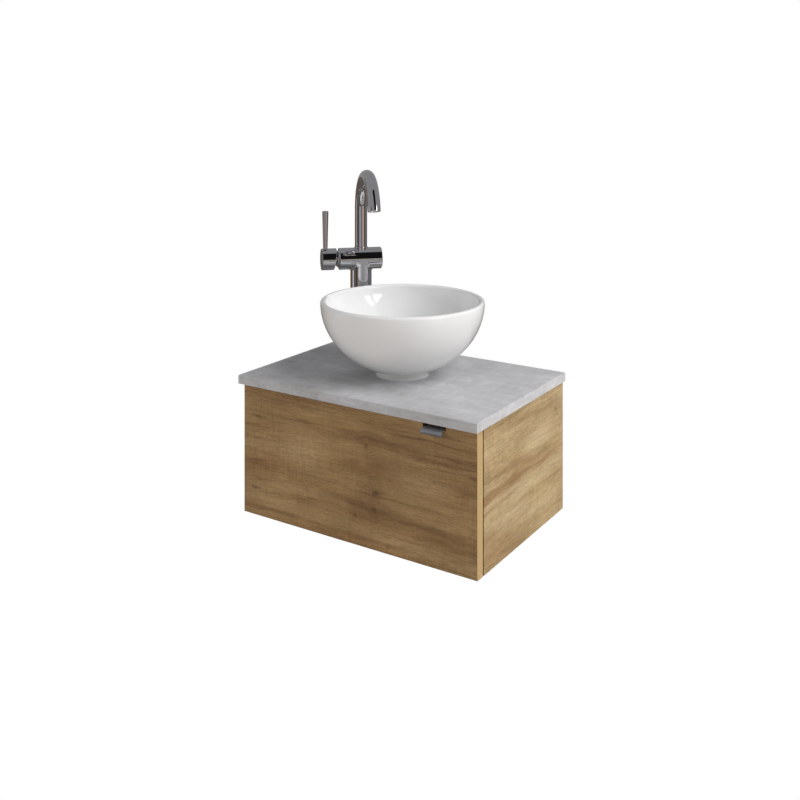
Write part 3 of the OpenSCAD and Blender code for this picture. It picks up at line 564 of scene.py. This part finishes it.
def bowl_curve(r, drop, stop, steps):
    """Superellipse quarter from the rim down to the radius stop, as (radius, z)."""
    end = math.acos((stop / r) ** (POWER / 2))
    out = []
    for k in range(steps + 1):
        a = end * k / steps
        out.append((r * math.cos(a) ** (2 / POWER), RIM_Z - drop * math.sin(a) ** (2 / POWER)))
    return out


outer = bowl_curve(BOWL_R, RIM_Z - 1, 50.0, 70)
inner = bowl_curve(BOWL_R - 2 * RIM_R, RIM_Z - 14, 36.0, 70)
rim = [(BOWL_R - RIM_R + RIM_R * math.cos(rad(a)), RIM_Z + RIM_R * math.sin(rad(a))) for a in range(10, 180, 10)]
foot = rounded([(38, 8), (38, 3.2), (48.6, 3.2, 0.6), (49.0, 5.2, 0.3), (48.5, 5.7), (49.6, 6.3, 0.3)] + [outer[-1]], 3)
profile = [(23.5, 8), (38, 8)] + foot[1:] + outer[-2::-1] + rim + inner
profile += [(33.6, 13.6), (33.0, 13.5), (23.5, 13.5)]
verts, faces = turned(profile, 200)
piece("bowl", verts, faces, "white_ceramic", "root", "basin", place=AT_BASIN, sharp=50)

shank = rounded([(17.5, -50), (20.9, -50, 0.3), (20.9, 13.6), (31.0, 14.5), (31.95, 14.7, 0.2), (31.2, 16.5, 0.5),
                 (24.5, 16.5, 0.4), (17.5, 12.0, 0.4), (17.5, -50)], 4)
verts, faces = turned(shank, 120)
piece("waste_flange", verts, faces, "chrome", "root", "waste_body", place=AT_BASIN)

cap = rounded([(0, -14), (3.95, -14, 0.3), (3.95, 16.7), (25, 16.75), (30, 18.35, 0.4), (30.45, 19.4, 0.5),
               (29.4, 20.5, 1.4)], 5)
cap += [(29.0 * math.cos(t), 20.9 + 1.8 * math.sin(t)) for t in map(rad, range(6, 91, 7))]
verts, faces = turned(cap, 120)
piece("plug_cap", verts, faces, "chrome", "plug", "plug", place=AT_BASIN, sharp=45)


# ---------- tap ----------

BODY_R, MIXER_R, BLEND = 21.6, 21.8, 4.2


def neck_blend(steps=180, bends=12):
    """Rows that run from the upright body over a hollow blend onto the level cylinder above it."""
    def on_mixer(x, s):
        a = s / MIXER_R
        return Vector((x, MIXER_R * math.sin(a), MIXER_Z - MIXER_R * math.cos(a)))

    def meet(k):
        phi = math.tau * k / steps
        return BODY_R * math.cos(phi), MIXER_R * math.asin(BODY_R * math.sin(phi) / MIXER_R)
    columns = []
    for k in range(steps):
        phi = math.tau * k / steps
        x, s = meet(k)
        before, after = meet(k - 0.5), meet(k + 0.5)
        way = Vector((after[1] - before[1], before[0] - after[0])).normalized()
        top = on_mixer(x + BLEND * way.x, s + BLEND * way.y)
        crossing = on_mixer(x, s)
        low = Vector((crossing.x, crossing.y, crossing.z - BLEND))
        a = (s + BLEND * way.y) / MIXER_R
        out = Vector((0, math.sin(a), -math.cos(a)))
        rise = (top - low).dot(out) / out.z
        highest = top.z - low.z - 0.05 if abs(out.z) < 0.2 else 99
        knee = low + Vector((0, 0, min(max(rise, 0.3), highest)))
        ts = [b / bends for b in range(bends + 1)]
        curve = [low * (1 - t) ** 2 + knee * 2 * t * (1 - t) + top * t * t for t in ts]
        base_edge = ((0.965, 1.5), (0.985, 1.5), (0.996, 1.75), (1, 2.3), (1, 3.2))
        column = [(BODY_R * f * math.cos(phi), BODY_R * f * math.sin(phi), z) for f, z in base_edge]
        column += [(low.x, low.y, low.z - 1)] + [tuple(p) for p in curve]
        columns.append(column)
    return grid([[c[i] for c in columns] for i in range(len(columns[0]))])


mixer = rounded([(0, -41), (20.6, -41, 0.35), (21.8, -39.8, 0.35), (21.8, 44.9, 0.5), (21.3, 45.5, 0.25),
                 (20.1, 45.5, 0.2), (20.0, 38.2), (0, 38.2)], 4)
mixer_verts, mixer_faces = turned(mixer, 144)
to_tap = AT_TAP.inverted() @ AT_MIXER
mixer_verts = [tuple(to_tap @ Vector(v)) for v in mixer_verts]
collar = turned(rounded([(13.5, MIXER_Z), (13.5, MIXER_Z + 24, 0.7), (9.1, MIXER_Z + 24), (9.1, MIXER_Z)], 4), 96)
verts, faces = joined(neck_blend(), (mixer_verts, mixer_faces), collar)
piece("tap_column", verts, faces, "chrome", "root", "tap_body", place=AT_TAP)

DOME_R, PIVOT = 20.5, 36.0
dome = [(19.2, 42.2)]
dome += [(DOME_R * math.sin(a), PIVOT + DOME_R * math.cos(a)) for a in (rad(72 - 2.2 * k) for k in range(16))]
dome += [(13.0, 51.2), (13.4, 50.2)]
verts, faces = turned(dome, 120)
piece("dome_ring", verts, faces, "chrome", "root", "cartridge_cover", place=AT_MIXER)


def knob_mesh(steps=144):
    """Knob with a ball-shaped hollow, cut on a slant at its inner end."""
    outer_r, hollow = 21.6, 21.2
    columns = []
    for k in range(steps):
        phi = math.tau * k / steps
        c = math.cos(phi)

        def cut(r):
            """Height of the slanting cut at a radius."""
            return 53.55 - 0.1353 * r * c

        # Where the ball-shaped hollow meets the cut
        low, high = 0.0, rad(80)
        for _ in range(40):
            mid = (low + high) / 2
            if PIVOT + hollow * math.cos(mid) > cut(hollow * math.sin(mid)):
                low = mid
            else:
                high = mid
        ball = [low * t for t in [0.001] + [i / 8 for i in range(1, 9)]]
        column = [(hollow * math.sin(a), PIVOT + hollow * math.cos(a)) for a in ball]
        edge = hollow * math.sin(low)
        column += [(edge + 0.3, cut(edge + 0.3)), (outer_r - 0.9, cut(outer_r - 0.9))]
        for a in range(0, 91, 18):
            r = outer_r - 0.5 + 0.5 * math.sin(rad(a))
            column.append((r, cut(outer_r) + 0.5 - 0.5 * math.cos(rad(a))))
        column += [(outer_r, cut(outer_r) + 0.9)]
        column += rounded([(outer_r, 70), (outer_r, 80.7, 0.8), (0.01, 80.7)], 5)[1:]
        columns.append([(r * math.cos(phi), r * math.sin(phi), z) for r, z in column])
    return grid([[c[i] for c in columns] for i in range(len(columns[0]))])


verts, faces = knob_mesh()
piece("lever_handle_knob", verts, faces, "chrome", "lever", "lever_knob", place=AT_MIXER)

rod = rounded([(4.65, 19.5), (4.65, 21.7), (6.35, 96.4, 0.5), (5.9, 97.0, 0.3), (0, 97.0)], 4)
verts, faces = turned(rod, 72)
piece("lever_bar", verts, faces, "chrome", "lever", "lever_rod", place=AT_LEVER)

SPOUT_R, BEND_R, BEND_Z, BEND = 12.5, 73.0, 284.0, 165
rings = [((0, 0, MIXER_Z + 5.8), 0, 9.05), ((0, 0, 209.3), 0, 9.05), ((0, 0, 209.3), 0, 12.0)]
rings += [((0, 0, 209.45), 0, 12.3)] + [((0, 0, z), 0, SPOUT_R) for z in (209.8, 210.4, 240, 270, 282)]
for k in range(85):
    a = rad(BEND * k / 84)
    rings.append(((0, BEND_R * (math.cos(a) - 1), BEND_Z + BEND_R * math.sin(a)), a, SPOUT_R))
last = Vector(rings[-1][0])
way = Vector((0, -math.sin(rad(BEND)), math.cos(rad(BEND))))
outlet = [(1, 12.5), (5.6, 12.5), (6.3, 12.5), (6.7, 12.35), (6.95, 12.05), (7, 11.7), (7, 11.2), (6.9, 10.95),
          (6.5, 10.8), (5, 10.75), (1, 10.75)]
for along, r in outlet:
    rings.append((tuple(last + way * along), rad(BEND), r))
rows = []
for centre, a, r in rings:
    u, w, c = Vector((1, 0, 0)), Vector((0, math.cos(a), math.sin(a))), Vector(centre)
    rows.append([tuple(c + (u * math.cos(t) + w * math.sin(t)) * r) for t in (math.tau * k / 96 for k in range(96))])
verts, faces = grid(rows)
piece("swan_neck", verts, faces, "chrome", "spout", "spout_tube", place=AT_TAP)


# ---------- drawer front and pull ----------

left, right = front_low.x, front_high.x
face, back = front_low.y, front_high.y
low, top = front_low.z, front_high.z
notch = (pull_low.x - 2, pull_high.x + 2, top - 7)


def inset_board(outline, near, far, ease=0.45):
    """Board seen from the front: an outline of (x, z) points, in order, and its two face depths, with eased edges."""
    n = len(outline)
    sign = way_round(outline)

    def pulled(amount):
        """The outline moved inwards."""
        out = []
        for i in range(n):
            a, p, b = (Vector(outline[(i + k) % n]) for k in (-1, 0, 1))
            e, f = (p - a).normalized(), (b - p).normalized()
            ne, nf = Vector((-e.y, e.x)) * sign, Vector((-f.y, f.x)) * sign
            out.append(p + (ne + nf) * amount / (1 + ne.dot(nf)))
        return out

    quarter = [(ease * (1 - math.sin(a)), ease * (1 - math.cos(a))) for a in (rad(60), rad(30), 0)]
    levels = [(near, ease * 1.6), (near, ease)] + [(near + d, inset) for d, inset in quarter]
    levels += [(near + ease * 2.0, 0), (far - ease * 2.0, 0)]
    levels += [(far - d, inset) for d, inset in quarter[::-1]] + [(far, ease), (far, ease * 1.6)]
    verts, faces = grid([[(p.x, depth, p.y) for p in pulled(inset)] for depth, inset in levels])
    faces.append(tuple(range(n)))
    faces.append(tuple(range(len(verts) - n, len(verts)))[::-1])
    return verts, faces


outline = [(left, low), (right, low), (right, top), (notch[1], top), (notch[1], notch[2]), (notch[0], notch[2]),
           (notch[0], top), (left, top)]
verts, faces = inset_board(outline, face, back)
piece("front_board", verts, faces, "oak_front", "drawer", "drawer_front", sharp=40)

BIG, SMALL, SHEET = 14.0, 4.0, 1.5
pull_top = pull_high.z
centre = Vector((face, pull_top - BIG))
bend_at, lip_end = 50, 115


def around(a):
    """Unit vector at an angle in degrees that starts at +z and turns towards -y."""
    return Vector((-math.sin(rad(a)), math.cos(rad(a))))


def arc(c, r, a0, a1, steps):
    return [tuple(c + around(a0 + (a1 - a0) * k / steps) * r) for k in range(steps + 1)]


second = centre + around(bend_at) * (BIG - SMALL)
# The lip ends in a half circle
lip = second + around(lip_end) * (SMALL - SHEET / 2)
tip = [tuple(lip + around(lip_end + a) * SHEET / 2) for a in range(20, 161, 20)]
foot_z = pull_low.z
profile = [(back + SHEET, foot_z), (back + SHEET, pull_top - 0.8), (back + SHEET - 0.3, pull_top - 0.25)]
profile += [(back + SHEET - 0.9, pull_top), (back - 4, pull_top), (face + 1, pull_top)]
profile += arc(centre, BIG, 0, bend_at, 10) + arc(second, SMALL, bend_at, lip_end, 12)[1:]
profile += tip + arc(second, SMALL - SHEET, lip_end, bend_at, 10) + arc(centre, BIG - SHEET, bend_at, 0, 10)[1:]
profile += [(face + 1, pull_top - SHEET), (back - 0.2, pull_top - SHEET), (back, pull_top - SHEET - 0.2)]
profile += [(back, foot_z)]
verts, faces = extruded(profile, pull_low.x, pull_high.x, 0.25)
piece("edge_pull", verts, faces, "aluminium_satin", "drawer", "handle", sharp=30)


# ---------- stage ----------

FLOOR_Z = -0.75


def panel(name, at, size, aim, radiance):
    """Soft light that shows in no reflection; its power follows from its size and radiance."""
    light = bpy.data.lights.new(name, "AREA")
    light.shape = "RECTANGLE"
    light.size, light.size_y = size
    light.energy = radiance * math.pi * size[0] * size[1]
    obj = bpy.data.objects.new(name, light)
    obj.location = at
    obj.rotation_euler = (Vector(aim) - Vector(at)).to_track_quat("-Z", "Y").to_euler()
    obj.visible_camera = obj.visible_glossy = False
    scene.collection.objects.link(obj)


def only_reflected(name, corners, surface):
    """Flat four-cornered thing that shows in reflections and nowhere else; corners are in metres."""
    mesh = bpy.data.meshes.new(name)
    mesh.from_pydata(corners, [], [(0, 1, 2, 3)])
    mesh.materials.append(surface)
    obj = bpy.data.objects.new(name, mesh)
    obj.visible_camera = obj.visible_diffuse = obj.visible_shadow = False
    scene.collection.objects.link(obj)


def towards(azimuth, elevation, distance, origin):
    """Point at a distance from origin, with azimuth and elevation in degrees."""
    a, e = rad(azimuth), rad(elevation)
    way = Vector((math.cos(a) * math.cos(e), math.sin(a) * math.cos(e), math.sin(e)))
    return tuple(Vector(origin) + way * distance)


def glow(name, colour, strength=1.0):
    """Material that only shines, the same from all sides."""
    m = Mat(name, Emission_Strength=strength, Specular_IOR_Level=0.0)
    m.feed("Base Color", (0, 0, 0, 1))
    m.feed("Emission Color", colour)
    return m.mat


def flag(name, azimuth, distance, width, high, colour, low=FLOOR_Z):
    """Upright board, at an azimuth from the tap measured from +X. The colour is how it looks in the chrome."""
    a = rad(azimuth)
    out, side = Vector((math.cos(a), math.sin(a), 0)), Vector((-math.sin(a), math.cos(a), 0)) * width / 2
    foot = Vector((tap_at.x * MM, tap_at.y * MM, 0)) + out * distance
    corners = [foot + side * s + Vector((0, 0, z)) for s, z in ((-1, low), (1, low), (1, high), (-1, high))]
    only_reflected(name, corners, glow(name, colour, 1 / CHROME[0]))


def pane(name, corners, strength):
    """Window pane as the basin's inner wall sees it; corners are (azimuth, elevation)."""
    wall = (basin_at.x * MM - 0.12, basin_at.y * MM + 0.07, slab_top * MM + 0.11)
    only_reflected(name, [towards(a, e, 3.2, wall) for a, e in corners], glow(name, (1.0, 0.98, 0.95, 1), strength))


panel("key", (2.5, 0.05, 2.00), (2.6, 2.6), (0, -0.15, 0.05), 5.1)
panel("fill", (-1.8, -3.0, 1.1), (3.0, 2.4), (0, -0.2, 0.0), 1.35)
pane("window_left", [(4, 5), (-4, 1), (-10, 22), (-3, 28)], 4.5)
pane("window_right", [(-8, 0), (-22, 0), (-25, 8), (-13, 22)], 4.5)
flag("brown_board", 174, 2.5, 1.1, 0.9, linear(96, 70, 38))
flag("dark_post", -103, 2.8, 0.75, 1.2, linear(76, 50, 36))
flag("warm_board", -16, 2.9, 1.25, 0.12, linear(180, 156, 138))
flag("warm_line", -33, 3.4, 2.6, 0.24, linear(200, 178, 158), low=0.04)
flag("pale_board", -148, 2.7, 0.9, 0.60, linear(178, 178, 184))
flag("blue_wall", 62, 2.6, 3.2, 0.60, linear(92, 93, 98))
flag("cool_board", -68, 3.0, 2.2, 0.0, linear(134, 135, 143))

floor_mesh = bpy.data.meshes.new("floor")
floor_mesh.from_pydata([(x, y, FLOOR_Z) for x, y in ((-9, -9), (9, -9), (9, 9), (-9, 9))], [], [(0, 1, 2, 3)])
floor = bpy.data.objects.new("floor", floor_mesh)
scene.collection.objects.link(floor)


def stage_look(tree, surface, out, reflected=None):
    """Plain white where the camera looks at the stage, the surface itself elsewhere, and if given, an even
    colour where a shiny thing reflects the stage."""
    path = tree.nodes.new("ShaderNodeLightPath")
    looks = [(path.outputs["Is Camera Ray"], (1, 1, 1, 1))]
    if reflected:
        looks.insert(0, (path.outputs["Is Glossy Ray"], reflected))
    for is_ray, colour in looks:
        even = tree.nodes.new("ShaderNodeEmission" if out.type == "OUTPUT_MATERIAL" else "ShaderNodeBackground")
        even.inputs["Color"].default_value = colour
        even.inputs["Strength"].default_value = 1.0
        both = tree.nodes.new("ShaderNodeMixShader")
        tree.links.new(is_ray, both.inputs[0])
        tree.links.new(surface, both.inputs[1])
        tree.links.new(even.outputs[0], both.inputs[2])
        surface = both.outputs[0]
    tree.links.new(surface, out.inputs["Surface"])


floor_mat = Mat("floor", Roughness=0.8, Emission_Strength=0.22)
floor_mat.feed("Base Color", linear(214, 208, 200))
floor_mat.feed("Emission Color", (1.0, 0.96, 0.91, 1))
out = next(n for n in floor_mat.tree.nodes if n.type == "OUTPUT_MATERIAL")
stage_look(floor_mat.tree, floor_mat.shader.outputs[0], out, (0.125, 0.113, 0.10, 1))
floor_mesh.materials.append(floor_mat.mat)

# World: a grey room, a little darker and bluer overhead, with one dark side between the camera and the key light
world = bpy.data.worlds.new("world")
scene.world = world
world.use_nodes = True
tree = world.node_tree
tree.nodes.clear()
out = tree.nodes.new("ShaderNodeOutputWorld")
room = tree.nodes.new("ShaderNodeBackground")
coords = tree.nodes.new("ShaderNodeTexCoord")
split = tree.nodes.new("ShaderNodeSeparateXYZ")
ramp = tree.nodes.new("ShaderNodeValToRGB")
tree.links.new(coords.outputs["Generated"], split.inputs[0])
tree.links.new(split.outputs[2], ramp.inputs[0])
ends = ramp.color_ramp.elements
ends[0].position, ends[0].color = 0.0, (0.30, 0.29, 0.285, 1)
ends[1].position, ends[1].color = 0.9, (0.28, 0.28, 0.295, 1)


def world_step(source, low, high, to_low, to_high):
    step = tree.nodes.new("ShaderNodeMapRange")
    step.interpolation_type = "SMOOTHSTEP"
    for socket, v in zip(step.inputs[1:], (low, high, to_low, to_high)):
        socket.default_value = v
    tree.links.new(source, step.inputs[0])
    return step.outputs[0]


def world_math(op, a, b=None):
    n = tree.nodes.new("ShaderNodeVectorMath" if op == "DOT_PRODUCT" else "ShaderNodeMath")
    n.operation = op
    for socket, v in zip(n.inputs, (a, b)):
        if isinstance(v, bpy.types.NodeSocket):
            tree.links.new(v, socket)
        elif v is not None:
            socket.default_value = v
    return n.outputs["Value"]


way = coords.outputs["Generated"]
DARK_AZ = rad(-33)
forward = world_math("DOT_PRODUCT", way, (math.cos(DARK_AZ), math.sin(DARK_AZ), 0))
sideways = world_math("ABSOLUTE", world_math("DOT_PRODUCT", way, (-math.sin(DARK_AZ), math.cos(DARK_AZ), 0)))
dark = world_math("MULTIPLY", world_step(sideways, 0.22, 0.34, 1, 0), world_step(forward, 0.28, 0.40, 0, 1))
dark = world_math("MULTIPLY", dark, world_step(split.outputs[2], -0.02, 0.02, 0, 1))
tree.links.new(world_step(dark, 0, 1, 1, 0.03), room.inputs["Strength"])
tree.links.new(ramp.outputs[0], room.inputs["Color"])
stage_look(tree, room.outputs[0], out)
